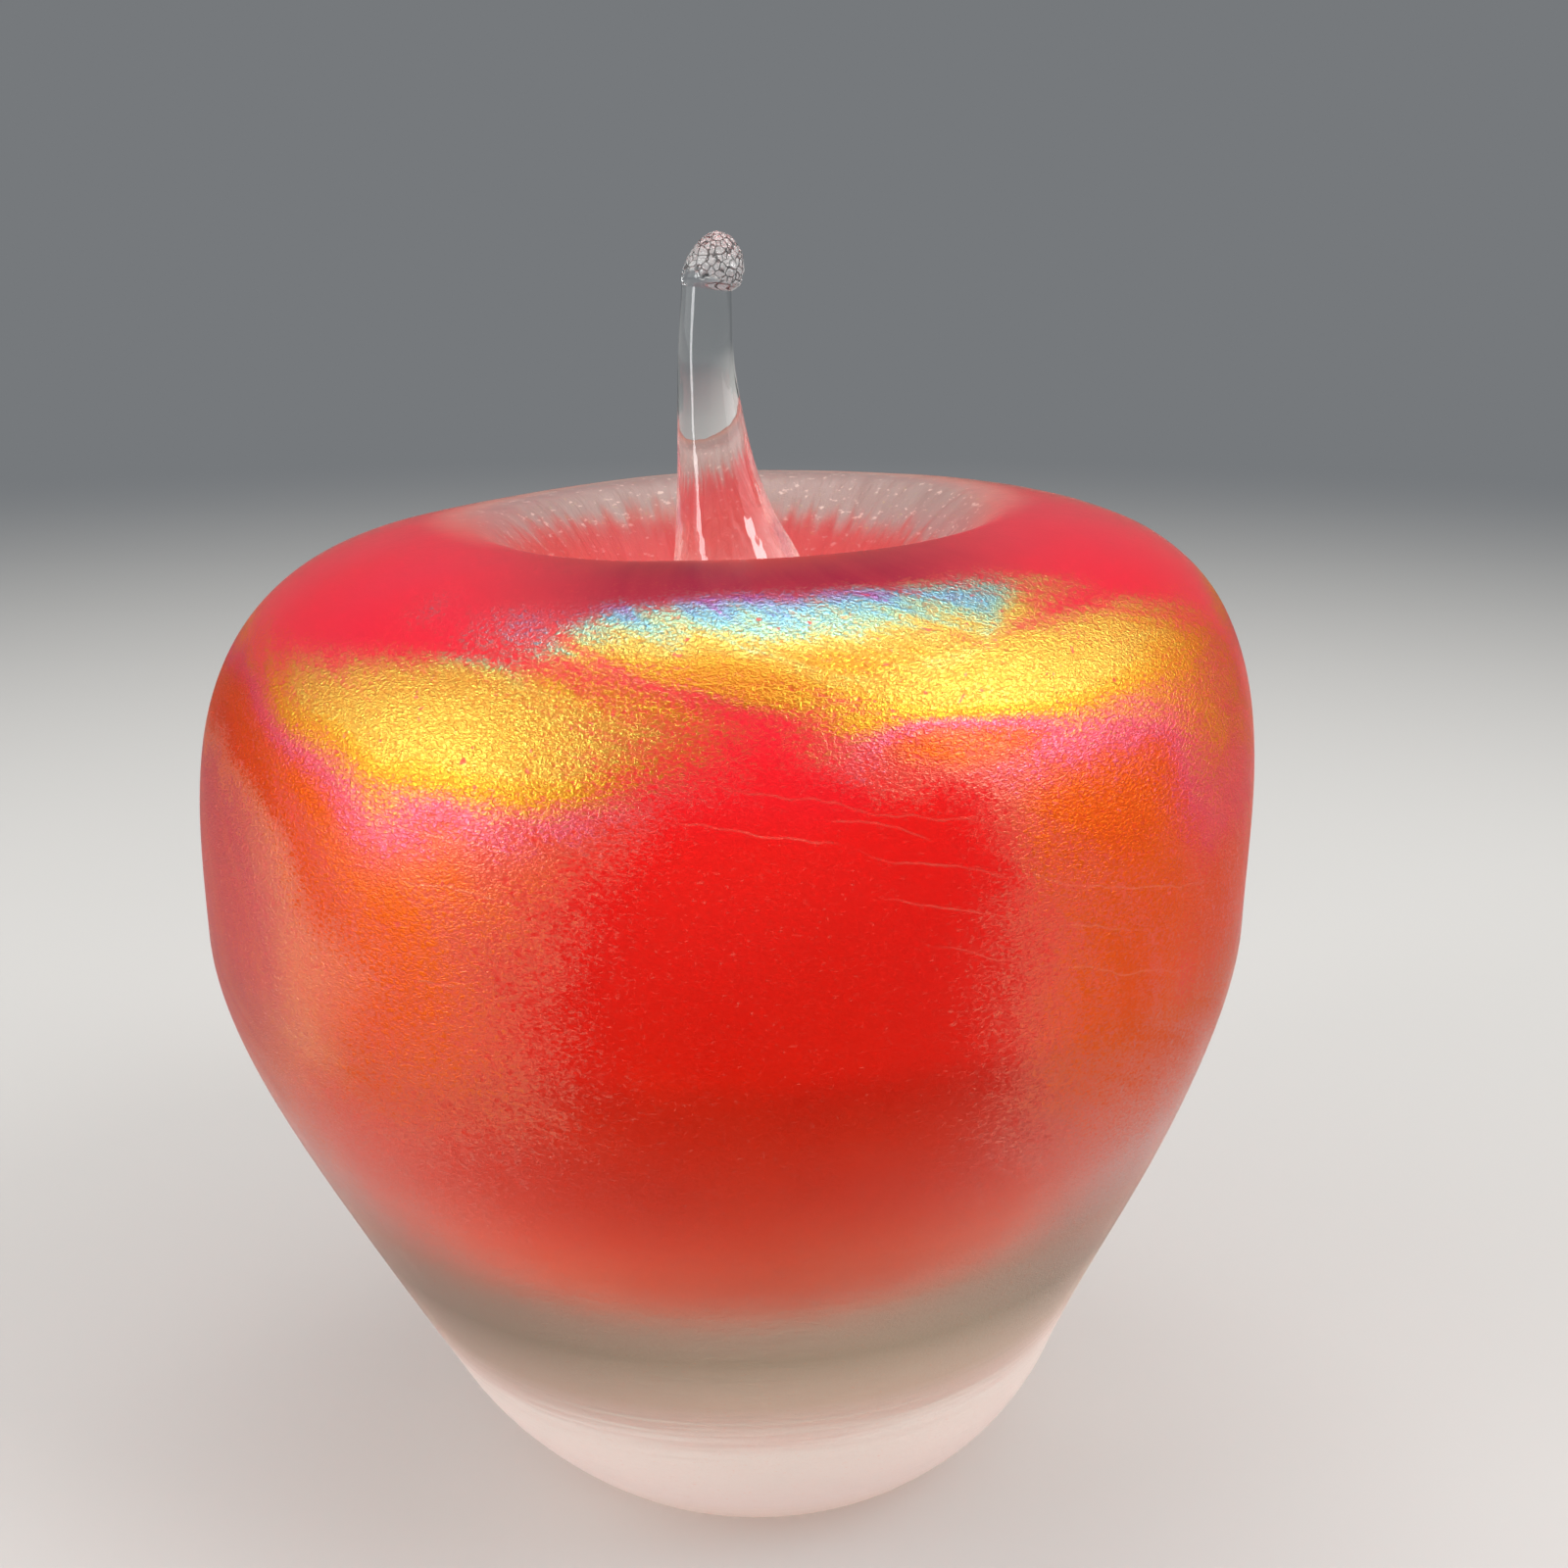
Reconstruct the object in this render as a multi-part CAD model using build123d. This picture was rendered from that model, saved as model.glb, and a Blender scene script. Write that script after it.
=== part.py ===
from build123d import *
from dataclasses import dataclass
import math
import os

os.makedirs("parts", exist_ok=True)

# An art glass apple: a thick clear casing over a red layer over an opal core, with an applied stem.
# The origin is on the table under the middle of the apple's widest place, +Z up.
# Heights called rise and drop are measured from that widest place.

# Outside of the apple
apple_radius = 42.5
foot_drop = 50.5
foot_flat_radius = 15.0
foot_edge_radius = 27.4
foot_edge_height = 11.7
foot_edge_angle = 22.5
crest_radius = 21.6
crest_rise = 31.4
dimple_depth = 13.0
dimple_floor_radius = 4.5

# The hand-formed body leans: the middles of the foot and of the crest stand to the right
foot_lean = 2.8
crest_lean = 1.0
crest_tilt = 2.0

# Clear glass between the outside and the red layer
side_wall = 6.5
crest_wall = 5.5
crest_inset = 2.0
dimple_wall = 4.0
dimple_side_wall = 2.0
foot_wall = 25.5

# Lower end of the red layer, drawn in to a bowl
red_flat_radius = 5.0
red_edge_radius = 17.5
red_edge_height = 4.5
red_edge_angle = 31.0

# Red glass over the opal core
red_wall = 3.0

# Stem: its root stands on the dimple's floor, its neck carries the tip
stem_root_radius = 7.6
stem_neck_radius = 1.95
stem_length = 30.3
stem_root_shift = 0.9
stem_bow = 2.4
stem_neck_tilt = 8.0
stem_sink = 3.0

# Crackled end of the stem
tip_radius = 2.33
tip_length = 4.1
tip_overhang = 1.2
tip_tilt = 12.0

# Handles of each smooth stretch, as shares of the stretch's height or reach
foot_fullness_shares = (0.32, 0.55)
clear_side_fullness_shares = (0.42, 0.23)
red_side_fullness_shares = (0.38, 0.22)
shoulder_fullness_shares = (0.45, 1.05)
dimple_fullness_shares = (0.22, 0.40)

# Stem sections from root to neck, as shares of its length, of what it narrows by and of its bow
stem_height_shares = (0.0, 0.12, 0.30, 0.43, 0.54, 0.66, 0.83, 1.0)
stem_width_shares = (1.0, 0.82, 0.57, 0.35, 0.22, 0.13, 0.045, 0.0)
stem_shift_shares = (0.0, 0.0, 0.02, 0.42, 0.67, 0.85, 1.0, 0.95)

# Tip sections above the one that it shares with the neck, as shares of its length, radius and overhang
tip_height_shares = (0.10, 0.30, 0.55, 0.80, 0.94, 1.0)
tip_width_shares = (0.97, 1.0, 0.91, 0.68, 0.42, 0.25)
tip_shift_shares = (0.22, 0.45, 0.68, 0.88, 0.97, 1.0)

# Circles of the loft on each stretch of the body's outline
foot_section_count = 5
side_section_count = 9
shoulder_section_count = 11
dimple_section_count = 8


@dataclass
class Outline:
    """Half outline of one gather of glass, from its flat bottom up and over into its dimple."""

    radius: float
    bottom: float
    flat_radius: float
    edge_radius: float
    edge_height: float
    edge_angle: float
    crest_radius: float
    crest_rise: float
    floor_radius: float
    floor_rise: float
    side_shares: tuple

    def stretches(self):
        """The outline's four smooth stretches, each as four handles, with its count of circles."""
        edge = Vector(self.edge_radius, self.bottom + self.edge_height)
        angle = math.radians(self.edge_angle)
        up_the_side = Vector(math.sin(angle), math.cos(angle))
        foot_near, foot_far = foot_fullness_shares
        side_near, side_far = self.side_shares
        shoulder_near, shoulder_far = shoulder_fullness_shares
        dimple_near, dimple_far = dimple_fullness_shares
        foot_reach = self.edge_radius - self.flat_radius
        crest_reach = self.radius - self.crest_radius
        dimple_reach = self.crest_radius - self.floor_radius

        flat = Vector(self.flat_radius, self.bottom)
        widest = Vector(self.radius, 0)
        crest = Vector(self.crest_radius, self.crest_rise)
        floor = Vector(self.floor_radius, self.floor_rise)
        flat_handle = flat + Vector(foot_reach * foot_near, 0)
        edge_low_handle = edge - up_the_side * (self.edge_height * foot_far)
        edge_high_handle = edge - up_the_side * (edge.Y * side_near)
        widest_low_handle = widest + Vector(0, edge.Y * side_far)
        widest_high_handle = widest + Vector(0, crest.Y * shoulder_near)
        crest_outer_handle = crest + Vector(crest_reach * shoulder_far, 0)
        crest_inner_handle = crest - Vector(dimple_reach * dimple_near, 0)
        floor_handle = floor + Vector(dimple_reach * dimple_far, 0)
        return (
            ((flat, flat_handle, edge_low_handle, edge), foot_section_count),
            ((edge, edge_high_handle, widest_low_handle, widest), side_section_count),
            ((widest, widest_high_handle, crest_outer_handle, crest), shoulder_section_count),
            ((crest, crest_inner_handle, floor_handle, floor), dimple_section_count),
        )

    def places(self):
        """Places along the outline, for the circles of the loft."""
        found = [Vector(self.flat_radius, self.bottom)]
        for handles, count in self.stretches():
            curve = Edge.make_bezier(*handles)
            found += [curve.position_at(step / count) for step in range(1, count + 1)]
        return found


def lean_at(rise):
    """How far the middle of a section stands to the right."""
    if rise < 0:
        return foot_lean * (rise / foot_drop) ** 2
    return crest_lean * (rise / crest_rise) ** 2


def circle(radius, shift, height, tilt):
    """Circle about a middle in the XZ plane. A positive tilt, in degrees, lowers its right side."""
    turn = math.radians(tilt)
    across = (math.cos(turn), 0, -math.sin(turn))
    normal = (math.sin(turn), 0, math.cos(turn))
    return Wire.make_circle(radius, Plane(origin=(shift, 0, height), x_dir=across, z_dir=normal))


def gather(outline):
    """One gather of glass: a loft through leaning circles, with the crest's right side higher."""
    circles = []
    for place in outline.places():
        tilt = crest_tilt * max(place.Y / crest_rise, 0) ** 2
        circles.append(circle(place.X, lean_at(place.Y), foot_drop + place.Y, -tilt))
    return Solid.make_loft(circles)


def make_clear_outline():
    """Outside of the apple."""
    return Outline(
        radius=apple_radius,
        bottom=-foot_drop,
        flat_radius=foot_flat_radius,
        edge_radius=foot_edge_radius,
        edge_height=foot_edge_height,
        edge_angle=foot_edge_angle,
        crest_radius=crest_radius,
        crest_rise=crest_rise,
        floor_radius=dimple_floor_radius,
        floor_rise=crest_rise - dimple_depth,
        side_shares=clear_side_fullness_shares,
    )


def make_red_outline(skin):
    """Outside of the red layer, or of what lies a skin's thickness inside it."""
    return Outline(
        radius=apple_radius - side_wall - skin,
        bottom=-foot_drop + foot_wall + skin,
        flat_radius=red_flat_radius,
        edge_radius=red_edge_radius - skin,
        edge_height=red_edge_height,
        edge_angle=red_edge_angle,
        crest_radius=crest_radius - crest_inset,
        crest_rise=crest_rise - crest_wall - skin,
        floor_radius=dimple_floor_radius + dimple_side_wall + skin / 2,
        floor_rise=crest_rise - dimple_depth - dimple_wall - skin,
        side_shares=red_side_fullness_shares,
    )


def make_stem(apple):
    """Clear rod from the dimple's floor to the neck, with its root fitted to the dimple."""
    floor_height = foot_drop + crest_rise - dimple_depth
    narrowing = stem_root_radius - stem_neck_radius
    circles = [circle(stem_root_radius, stem_root_shift, floor_height - stem_sink, 0)]
    for height, width, shift in zip(stem_height_shares, stem_width_shares, stem_shift_shares):
        middle = stem_root_shift - stem_bow * shift
        radius = stem_neck_radius + narrowing * width
        tilt = stem_neck_tilt * height ** 2
        circles.append(circle(radius, middle, floor_height + stem_length * height, tilt))
    return Solid.make_loft(circles) - apple


def make_tip():
    """Pinched end of the stem: it stands on the neck's slanting end and overhangs to the right."""
    neck_height = foot_drop + crest_rise - dimple_depth + stem_length
    neck_shift = stem_root_shift - stem_bow * stem_shift_shares[-1]
    circles = [circle(stem_neck_radius, neck_shift, neck_height, stem_neck_tilt)]
    for height, width, shift in zip(tip_height_shares, tip_width_shares, tip_shift_shares):
        middle = neck_shift + tip_overhang * shift
        tilt = stem_neck_tilt + (tip_tilt - stem_neck_tilt) * height
        circles.append(circle(tip_radius * width, middle, neck_height + tip_length * height, tilt))
    return Solid.make_loft(circles)


def write(name, shape):
    """One STEP file for one piece."""
    solids = shape.solids()
    print(name, "solids", len(solids), "volume", round(sum(solid.volume for solid in solids)))
    export_step(shape, "parts/" + name + ".step")


apple = gather(make_clear_outline())
red = gather(make_red_outline(0))
core = gather(make_red_outline(red_wall))

write("opal_core", core)
write("red_overlay", red - core)
write("clear_casing", apple - red)
write("stem", make_stem(apple))
write("stem_tip", make_tip())
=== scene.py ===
import math
from functools import partial, reduce

import bpy
import numpy as np
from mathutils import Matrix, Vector


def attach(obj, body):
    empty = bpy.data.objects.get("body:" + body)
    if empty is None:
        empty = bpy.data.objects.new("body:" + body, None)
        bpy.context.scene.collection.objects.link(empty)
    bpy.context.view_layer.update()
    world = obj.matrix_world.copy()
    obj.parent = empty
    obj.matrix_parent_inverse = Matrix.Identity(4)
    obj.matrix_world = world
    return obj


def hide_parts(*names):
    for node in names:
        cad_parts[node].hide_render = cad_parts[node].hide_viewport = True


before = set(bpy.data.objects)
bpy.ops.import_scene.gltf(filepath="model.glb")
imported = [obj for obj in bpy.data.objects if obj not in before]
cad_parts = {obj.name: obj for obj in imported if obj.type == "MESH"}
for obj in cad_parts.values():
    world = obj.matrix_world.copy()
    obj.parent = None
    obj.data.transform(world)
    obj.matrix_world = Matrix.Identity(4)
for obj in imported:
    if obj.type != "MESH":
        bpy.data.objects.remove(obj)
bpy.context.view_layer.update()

# Sizes are in metres, and MM is a millimetre. Heights of an outline are from the widest place.
MM = 0.001

# Camera at the photograph's place, about 15 cm from the apple, for a frame of 1600 x 1600
image_side = 1600.0
focal_pixels = 1921.0
sensor_side = 36.0
eye_place = Vector((4.6 * MM, -150.5 * MM, 105.1 * MM))
eye_pitch = 0.297
eye_near_limit = 10 * MM

# Outside of the apple
apple_radius = 42.5 * MM
foot_drop = 50.5 * MM
foot_flat_radius = 15.0 * MM
foot_edge_radius = 27.4 * MM
foot_edge_height = 11.7 * MM
foot_edge_angle = 22.5
crest_radius = 21.6 * MM
crest_rise = 31.4 * MM
dimple_depth = 13.0 * MM
dimple_floor_radius = 4.5 * MM
foot_lean = 2.8 * MM
crest_lean = 1.0 * MM
crest_tilt = 2.0

# Clear glass between the outside and the red layer
side_wall = 6.5 * MM
crest_wall = 5.5 * MM
crest_inset = 2.0 * MM
dimple_wall = 4.0 * MM
dimple_side_wall = 2.0 * MM
foot_wall = 25.5 * MM

# Lower end of the red layer
red_flat_radius = 5.0 * MM
red_edge_radius = 17.5 * MM
red_edge_height = 4.5 * MM
red_edge_angle = 31.0

# The casing's cavity lies this far inside the red layer's skin, so that no light runs between them
cavity_lap = 0.15 * MM

# Stem and tip
stem_root_radius = 7.6 * MM
stem_neck_radius = 1.95 * MM
stem_length = 30.3 * MM
stem_root_shift = 0.9 * MM
stem_bow = 2.4 * MM
stem_neck_tilt = 8.0
stem_contact_radius = 7.9 * MM
stem_seat_gap = 0.02 * MM
tip_radius = 2.33 * MM
tip_length = 4.1 * MM
tip_overhang = 1.2 * MM
tip_tilt = 12.0

# Handles of each smooth stretch of an outline, as shares of the stretch's height or reach
foot_fullness_shares = (0.32, 0.55)
clear_side_fullness_shares = (0.42, 0.23)
red_side_fullness_shares = (0.38, 0.22)
shoulder_fullness_shares = (0.45, 1.05)
dimple_fullness_shares = (0.22, 0.40)

# Stem and tip sections, as shares of length, width and sideways shift
stem_height_shares = (0.0, 0.12, 0.30, 0.43, 0.54, 0.66, 0.83, 1.0)
stem_width_shares = (1.0, 0.82, 0.57, 0.35, 0.22, 0.13, 0.045, 0.0)
stem_shift_shares = (0.0, 0.0, 0.02, 0.42, 0.67, 0.85, 1.0, 0.95)
tip_height_shares = (0.0, 0.10, 0.30, 0.55, 0.80, 0.94, 1.0)
tip_width_shares = (stem_neck_radius / tip_radius, 0.97, 1.0, 0.91, 0.68, 0.42, 0.25)
tip_shift_shares = (0.0, 0.22, 0.45, 0.68, 0.88, 0.97, 1.0)

# The flat end where the stem carries its tip
dimple_floor_height = foot_drop + crest_rise - dimple_depth
neck_shift = stem_root_shift - stem_bow * stem_shift_shares[-1]
neck_place = Vector((neck_shift, 0, dimple_floor_height + stem_length))
neck_turn = math.radians(stem_neck_tilt)
neck_normal = Vector((math.sin(neck_turn), 0, math.cos(neck_turn)))

random_places = np.random.default_rng(7)


# Outlines and skins of revolution


def bezier(handles, count):
    """Places along a cubic curve, without its first."""
    step = np.linspace(0, 1, count + 1)[1:, None]
    start, near, far, end = (np.array(handle) for handle in handles)
    return (
        start * (1 - step) ** 3
        + 3 * near * step * (1 - step) ** 2
        + 3 * far * step ** 2 * (1 - step)
        + end * step ** 3
    )


def gather_outline(radius, bottom, flat_radius, edge, edge_angle, crest, floor, side_shares, density):
    """Half outline of a gather of glass, from its foot's middle up and over to its dimple's middle."""
    angle = math.radians(edge_angle)
    up_the_side = np.array([math.sin(angle), math.cos(angle)])
    flat = np.array([flat_radius, bottom])
    edge, crest, floor = np.array(edge), np.array(crest), np.array(floor)
    widest = np.array([radius, 0.0])
    foot_near, foot_far = foot_fullness_shares
    side_near, side_far = side_shares
    shoulder_near, shoulder_far = shoulder_fullness_shares
    dimple_near, dimple_far = dimple_fullness_shares
    dimple_reach = crest[0] - floor[0]
    foot = (
        flat,
        flat + [(edge[0] - flat_radius) * foot_near, 0],
        edge - up_the_side * (edge[1] - bottom) * foot_far,
        edge,
    )
    side = (
        edge,
        edge - up_the_side * edge[1] * side_near,
        widest + [0, edge[1] * side_far],
        widest,
    )
    shoulder = (
        widest,
        widest + [0, crest[1] * shoulder_near],
        crest + [(radius - crest[0]) * shoulder_far, 0],
        crest,
    )
    dimple = (
        crest,
        crest - [dimple_reach * dimple_near, 0],
        floor + [dimple_reach * dimple_far, 0],
        floor,
    )
    return np.vstack([
        np.linspace(0, 1, density // 2 + 1)[1:, None] * [flat_radius, 0] + [0, bottom],
        bezier(foot, density),
        bezier(side, 2 * density),
        bezier(shoulder, 3 * density),
        bezier(dimple, 2 * density),
        np.linspace(1, 0, density // 4 + 1)[1:-1, None] * [floor[0], 0] + [0, floor[1]],
    ])


def clear_outline(density):
    """Outside of the apple."""
    return gather_outline(
        radius=apple_radius,
        bottom=-foot_drop,
        flat_radius=foot_flat_radius,
        edge=(foot_edge_radius, foot_edge_height - foot_drop),
        edge_angle=foot_edge_angle,
        crest=(crest_radius, crest_rise),
        floor=(dimple_floor_radius, crest_rise - dimple_depth),
        side_shares=clear_side_fullness_shares,
        density=density,
    )


def red_outline(skin, density):
    """Outside of the red layer, or of what lies a skin's thickness inside it."""
    bottom = -foot_drop + foot_wall + skin
    return gather_outline(
        radius=apple_radius - side_wall - skin,
        bottom=bottom,
        flat_radius=red_flat_radius,
        edge=(red_edge_radius - skin, bottom + red_edge_height),
        edge_angle=red_edge_angle,
        crest=(crest_radius - crest_inset, crest_rise - crest_wall - skin),
        floor=(dimple_floor_radius + dimple_side_wall, crest_rise - dimple_depth - dimple_wall - skin),
        side_shares=red_side_fullness_shares,
        density=density,
    )


def lean_at(rise):
    """How far the middle of a circle at a height stands to the right."""
    low = foot_lean * (rise / foot_drop) ** 2
    high = crest_lean * (rise / crest_rise) ** 2
    return np.where(rise < 0, low, high)


def axis_place(rise):
    """Middle of the circle at a height."""
    return float(lean_at(rise)), 0, foot_drop + rise


def turns(around):
    """Angles of the places on a ring, from the right."""
    return np.arange(around) * 2 * math.pi / around


def leaning_grid(outline, around):
    """Places of a gather's skin, one row for each place of the outline."""
    radius, rise = outline[:, :1], outline[:, 1:]
    angle = turns(around)[None]
    tilt = np.radians(crest_tilt) * np.maximum(rise / crest_rise, 0) ** 2
    across = radius * np.cos(angle)
    return np.stack([
        lean_at(rise) + across * np.cos(tilt),
        radius * np.sin(angle),
        foot_drop + rise + across * np.sin(tilt),
    ], axis=-1)


def grid_normals(grid):
    """Outward normals of a grid whose rows run up the outside."""
    along = np.gradient(grid, axis=0)
    around = np.roll(grid, -1, axis=1) - np.roll(grid, 1, axis=1)
    normal = np.cross(around, along)
    return normal / np.maximum(np.linalg.norm(normal, axis=-1, keepdims=True), 1e-12)


def closed_faces(rows, around, first, inward=False):
    """Quads of a grid, with a fan to a middle point at each end. The middles follow the grid's points."""
    faces = []
    start, end = first + rows * around, first + rows * around + 1
    for j in range(around):
        k = (j + 1) % around
        faces.append((start, first + k, first + j))
        for i in range(rows - 1):
            low, high = first + i * around, first + (i + 1) * around
            faces.append((low + j, low + k, high + k, high + j))
        top = first + (rows - 1) * around
        faces.append((top + j, top + k, end))
    if inward:
        faces = [face[::-1] for face in faces]
    return faces


def with_ends(grid, start, end):
    """The grid's points, followed by the two middles that close it."""
    return np.vstack([grid.reshape(-1, 3), start, end])


def add_object(name, data):
    """New object in the scene."""
    added = bpy.data.objects.new(name, data)
    bpy.context.scene.collection.objects.link(added)
    return added


def make_piece(name, points, faces, material):
    """Smooth mesh that rides with the part."""
    mesh = bpy.data.meshes.new(name)
    mesh.from_pydata(points, [], faces)
    mesh.polygons.foreach_set("use_smooth", [True] * len(mesh.polygons))
    mesh.materials.append(material)
    mesh.update()
    piece = add_object(name, mesh)
    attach(piece, "root")
    return piece


# Hand-made unevenness


def waves(places, length, height, count):
    """Sum of random flat waves through space, of about one length and of a total height."""
    total = np.zeros(places.shape[:-1])
    for _ in range(count):
        heading = random_places.normal(size=3)
        heading *= 2 * math.pi / (length * random_places.uniform(0.7, 1.5) * np.linalg.norm(heading))
        total += np.sin(places @ heading + random_places.uniform(0, 2 * math.pi))
    return total * height / math.sqrt(count)


def smoothstep(low, high, value):
    """0 below low, 1 above high, smooth between."""
    share = np.clip((value - low) / (high - low), 0, 1)
    return share * share * (3 - 2 * share)


# Shader building


def rgb(red, green, blue):
    """A colour as seen on a screen, 0 to 255, turned into light."""
    shares = [value / 255 for value in (red, green, blue)]
    return tuple(s / 12.92 if s <= 0.04045 else ((s + 0.055) / 1.055) ** 2.4 for s in shares) + (1.0,)


def way(azimuth, lift):
    """Direction away from the apple, in degrees. Azimuth 0 is to the viewer, and plus is to the right."""
    turn, rise = math.radians(azimuth), math.radians(lift)
    return Vector((math.sin(turn) * math.cos(rise), -math.cos(turn) * math.cos(rise), math.sin(rise)))


class Nodes:
    """A node tree, with short calls for the kinds used here."""

    def __init__(self, tree, output):
        self.tree = tree
        self.tree.nodes.clear()
        self.output = self.node(output)

    def node(self, kind, *values, **inputs):
        """New node. Values feed its first sockets in order, and the others feed sockets by name."""
        made = self.tree.nodes.new("ShaderNode" + kind)
        for socket, value in zip(made.inputs, values):
            self.feed(socket, value)
        for key, value in inputs.items():
            self.feed(made.inputs[key.replace("_", " ")], value)
        return made

    def feed(self, socket, value):
        if isinstance(value, bpy.types.NodeSocket):
            self.tree.links.new(value, socket)
        else:
            socket.default_value = value

    def math(self, operation, first, second=0.0, clamp=False):
        made = self.node("Math", first, second)
        made.operation = operation
        made.use_clamp = clamp
        return made.outputs[0]

    def vector_math(self, operation, first, second):
        made = self.node("VectorMath", first, second)
        made.operation = operation
        return made

    def total(self, *values):
        return reduce(partial(self.math, "ADD"), values)

    def product(self, *values):
        return reduce(partial(self.math, "MULTIPLY"), values)

    def less(self, first, second):
        return self.math("SUBTRACT", first, second)

    def rest(self, share):
        """What a share leaves of 1."""
        return self.less(1.0, share)

    def most(self, first, second, clamp=False):
        return self.math("MAXIMUM", first, second, clamp=clamp)

    def step(self, low, high, value):
        """0 below low, 1 above high, smooth between."""
        made = self.node("MapRange", Value=value, From_Min=low, From_Max=high)
        made.interpolation_type = "SMOOTHSTEP"
        return made.outputs["Result"]

    def between(self, value, low, high):
        """The value, 0 to 1, spread from low to high."""
        return self.node("MapRange", Value=value, To_Min=low, To_Max=high).outputs["Result"]

    def swing(self, value, amount):
        """The value, 0 to 1, spread an amount down and up from 0."""
        return self.between(value, -amount, amount)

    def place(self):
        """Place on the part in millimetres, as X, Y and Z sockets and as one vector."""
        scaled = self.node("VectorMath", self.node("TexCoord").outputs["Object"])
        scaled.operation = "SCALE"
        scaled.inputs["Scale"].default_value = 1 / MM
        split = self.node("SeparateXYZ", Vector=scaled.outputs[0])
        return split.outputs[0], split.outputs[1], split.outputs[2], scaled.outputs[0]

    def from_axis(self, x, y):
        """Distance from the upright axis."""
        return self.math("SQRT", self.total(self.product(x, x), self.product(y, y)))

    def stretched(self, vector, scale):
        return self.vector_math("MULTIPLY", vector, scale).outputs[0]

    def dot(self, vector, axis):
        return self.vector_math("DOT_PRODUCT", vector, axis).outputs["Value"]

    def combined(self, x, y):
        return self.node("CombineXYZ", X=x, Y=y).outputs[0]

    def oval(self, normal, azimuth, lift, width, height, tilt):
        """1 in the middle of an oval part of the surface that faces one way, 0 past its edge. Degrees."""
        turn, roll = math.radians(azimuth), math.radians(tilt)
        facing = way(azimuth, lift)
        right = Vector((math.cos(turn), math.sin(turn), 0))
        up = right.cross(-facing)
        along = (right * math.cos(roll) + up * math.sin(roll)) / math.sin(math.radians(width))
        across = (up * math.cos(roll) - right * math.sin(roll)) / math.sin(math.radians(height))
        far_along, far_across = self.dot(normal, along), self.dot(normal, across)
        distance = self.total(self.product(far_along, far_along), self.product(far_across, far_across))
        inside = self.step(0.0, 1.0, self.rest(distance))
        return self.product(inside, self.step(0.0, 0.3, self.dot(normal, facing)))

    def with_ovals(self, value, normal, ovals):
        """The value, plus each oval times the last number of its row."""
        for *oval, weight in ovals:
            value = self.total(value, self.product(self.oval(normal, *oval), weight))
        return value

    def noise(self, vector, scale=1.0, output="Fac", **kinds):
        return self.node("TexNoise", Vector=vector, Scale=scale, **kinds).outputs[output]

    def ramp(self, value, stops):
        made = self.node("ValToRGB", value)
        elements = made.color_ramp.elements
        while len(elements) < len(stops):
            elements.new(0.5)
        for element, (position, colour) in zip(elements, stops):
            element.position = position
            element.color = colour
        return made.outputs["Color"]

    def mix_colour(self, share, first, second):
        made = self.node("Mix", share)
        made.data_type = "RGBA"
        self.feed(made.inputs[6], first)
        self.feed(made.inputs[7], second)
        return made.outputs[2]

    def principled(self, **inputs):
        return self.node("BsdfPrincipled", **inputs).outputs[0]

    def mix_surface(self, share, first, second):
        return self.node("MixShader", share, first, second).outputs[0]

    def bump(self, height, distance, strength=1.0, under=None):
        made = self.node("Bump", Height=height, Distance=distance, Strength=strength)
        if under is not None:
            self.feed(made.inputs["Normal"], under)
        return made.outputs["Normal"]

    def seen_by_eye(self):
        """1 for what the camera sees, straight or by way of metal and glass, and 0 for light on things."""
        path = self.node("LightPath").outputs
        direct = self.most(path["Is Camera Ray"], path["Is Glossy Ray"])
        return self.most(direct, path["Is Transmission Ray"])

    def finish(self, surface):
        self.feed(self.output.inputs["Surface"], surface)


class Shader(Nodes):
    """The nodes of a new material."""

    def __init__(self, name):
        self.material = bpy.data.materials.new(name)
        self.material.use_nodes = True
        super().__init__(self.material.node_tree, "OutputMaterial")

    def finish(self, surface):
        super().finish(surface)
        return self.material

    def finish_glass(self, surface, tint):
        """Glass that lets lamps through, so that what it covers is lit."""
        lamps = self.node("BsdfTransparent", Color=tint)
        shadow = self.node("LightPath").outputs["Is Shadow Ray"]
        return self.finish(self.mix_surface(shadow, surface, lamps.outputs[0]))


# Lustre: the fumed metal film on the casing

# Colours of the film by its order, from the thinnest to the thickest
film_stops = (
    (0.00, rgb(214, 120, 150)),
    (0.07, rgb(255, 196, 150)),
    (0.15, rgb(246, 114, 30)),
    (0.30, rgb(250, 130, 30)),
    (0.37, rgb(255, 124, 100)),
    (0.43, rgb(255, 126, 160)),
    (0.49, rgb(255, 168, 120)),
    (0.58, rgb(255, 208, 56)),
    (0.68, rgb(255, 234, 74)),
    (0.76, rgb(250, 248, 120)),
    (0.82, rgb(190, 240, 200)),
    (0.88, rgb(150, 220, 245)),
    (0.94, rgb(196, 140, 214)),
    (1.00, rgb(190, 64, 104)),
)

# Where the film lies: azimuth and lift of the way it faces, half width, half height, tilt, and strength
lustre_ovals = (
    (5, 59, 24, 22, 8, 1.0),
    (9, 47, 26, 18, -6, 1.0),
    (-32, 30, 36, 30, -14, 1.0),
    (32, 36, 34, 27, -8, 1.0),
    (-38, 6, 37, 38, -12, 0.66),
    (46, 22, 29, 34, 0, 1.0),
    (52, 0, 36, 40, 0, 0.74),
    (-66, 4, 40, 56, 0, 0.92),
    (-11, 44, 20, 16, -12, 0.50),
    (-160, 34, 34, 24, 12, 0.9),
    (150, 40, 30, 22, -10, 0.9),
    (96, 30, 34, 26, -10, 0.75),
    (-104, 28, 32, 28, 12, 0.7),
    (-165, 4, 38, 36, 10, 0.66),
    (136, 6, 36, 34, -8, 0.62),
    (-118, 0, 24, 30, 0, 0.5),
)

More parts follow.
